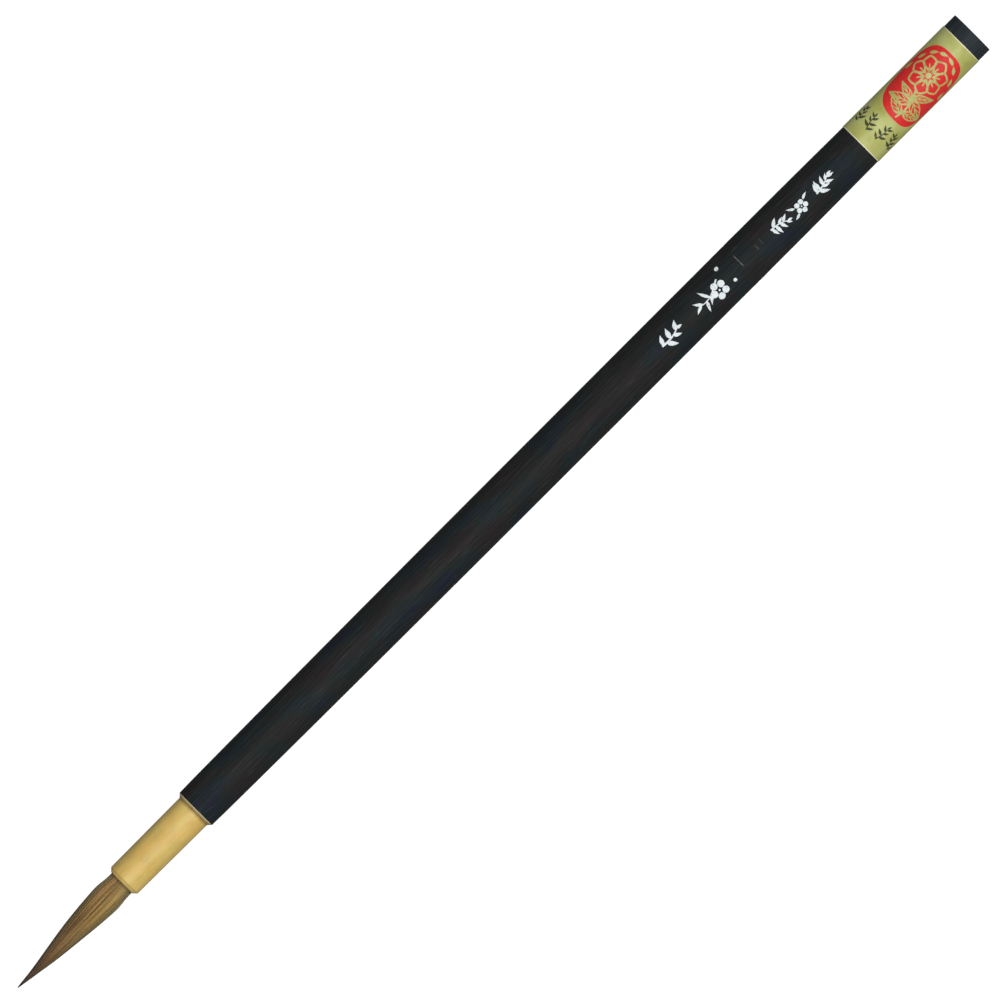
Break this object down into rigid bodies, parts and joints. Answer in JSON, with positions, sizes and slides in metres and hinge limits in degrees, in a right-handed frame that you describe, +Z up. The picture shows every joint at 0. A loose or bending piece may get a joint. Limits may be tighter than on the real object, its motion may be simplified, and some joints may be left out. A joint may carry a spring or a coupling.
{
  "type": "calligraphy brush",
  "caption": "Small round calligraphy brush: pointed hair tuft in a raw bamboo socket on a straight black-dyed bamboo shaft with a foil paper label at the butt.",
  "frame": {"origin": "on the resting plane, under the middle of the brush's length", "axes": "+X along the brush from the point of the tuft to the butt, +Z up, brush lying down"},
  "size_m": [0.215, 0.008, 0.008],
  "materials": {
    "dyed_bamboo": "black-dyed bamboo, satin polish, fine lengthwise grain",
    "raw_bamboo": "raw golden bamboo, smooth, waxed",
    "foil_paper": "pale gold foil paper, soft sheen",
    "core_hair": "reddish brown animal hair",
    "cover_hair": "olive tan animal hair",
    "hemp": "undyed hemp thread",
    "rosin": "melted amber rosin"
  },
  "bodies": {
    "handle": {"shaft": "dyed_bamboo", "butt_plug": "dyed_bamboo", "socket": "raw_bamboo", "label": "foil_paper", "root_thread": "hemp", "root_resin": "rosin", "core_hair_root": "core_hair", "cover_hair_root": "cover_hair"},
    "tuft_belly": {"core_hair_belly": "core_hair", "cover_hair_belly": "cover_hair"},
    "tuft_middle": {"core_hair_middle": "core_hair", "cover_hair_middle": "cover_hair"},
    "tuft_waist": {"core_hair_waist": "core_hair", "cover_hair_waist": "cover_hair"},
    "tuft_point": {"tip_hair": "core_hair"}
  },
  "joints": [
    {"name": "belly_bend", "type": "hinge", "parent": "handle", "child": "tuft_belly", "pos_m": [-0.088, 0, 0.00402], "axis": [0, 0, 1], "range_deg": [-22, 22], "stiffness_Nm_per_rad": 0.00005},
    {"name": "middle_bend", "type": "hinge", "parent": "tuft_belly", "child": "tuft_middle", "pos_m": [-0.092, 0, 0.00402], "axis": [0, 0, 1], "range_deg": [-22, 22]},
    {"name": "waist_bend", "type": "hinge", "parent": "tuft_middle", "child": "tuft_waist", "pos_m": [-0.096, 0, 0.00402], "axis": [0, 0, 1], "range_deg": [-22, 22]},
    {"name": "point_bend", "type": "hinge", "parent": "tuft_waist", "child": "tuft_point", "pos_m": [-0.1, 0, 0.00402], "axis": [0, 0, 1], "range_deg": [-22, 22]}
  ],
  "couplings": [
    {"joint": "middle_bend", "follows": "belly_bend", "ratio": 1},
    {"joint": "waist_bend", "follows": "belly_bend", "ratio": 1},
    {"joint": "point_bend", "follows": "belly_bend", "ratio": 1}
  ]
}
